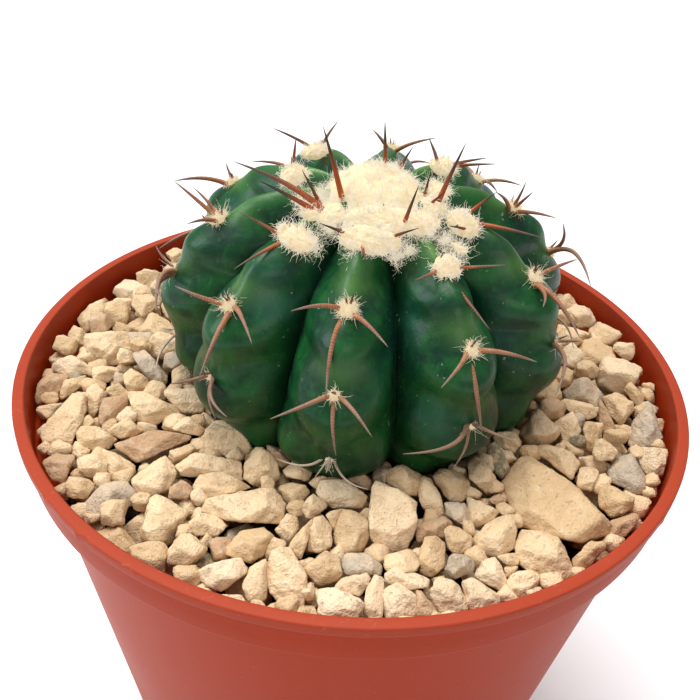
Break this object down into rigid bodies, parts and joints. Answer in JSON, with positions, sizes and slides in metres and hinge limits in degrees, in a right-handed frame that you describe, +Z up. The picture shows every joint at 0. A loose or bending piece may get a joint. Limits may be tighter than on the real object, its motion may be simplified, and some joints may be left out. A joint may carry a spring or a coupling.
{
  "type": "potted round cactus",
  "caption": "Flattened round ribbed cactus with curved spines and a woolly crown, standing in gravel-topped potting mix in a tapered plastic nursery pot.",
  "frame": {"origin": "centre of the pot's foot, on the surface it stands on", "axes": "+Z up along the pot's axis, -Y towards the side that the picture shows, +X to the right"},
  "size_m": [0.1198, 0.1198, 0.1453],
  "materials": {
    "pot_plastic": "terracotta-coloured moulded polypropylene, satin, with a soft sheen at grazing angles",
    "potting_mix": "dark crumbly potting mix, dry and matt",
    "gravel_stone": "pale beige crushed stone, dusty and matt",
    "cactus_skin": "dark green waxy skin with a bluish sheen, reddish-brown spines and cream areoles",
    "crown_wool": "cream felt of fine plant hairs, pierced by dark young spines"
  },
  "bodies": {
    "root": {"pot": "pot_plastic", "potting_mix": "potting_mix", "gravel": "gravel_stone", "cactus_stem": "cactus_skin", "crown_wool": "crown_wool"}
  },
  "joints": []
}
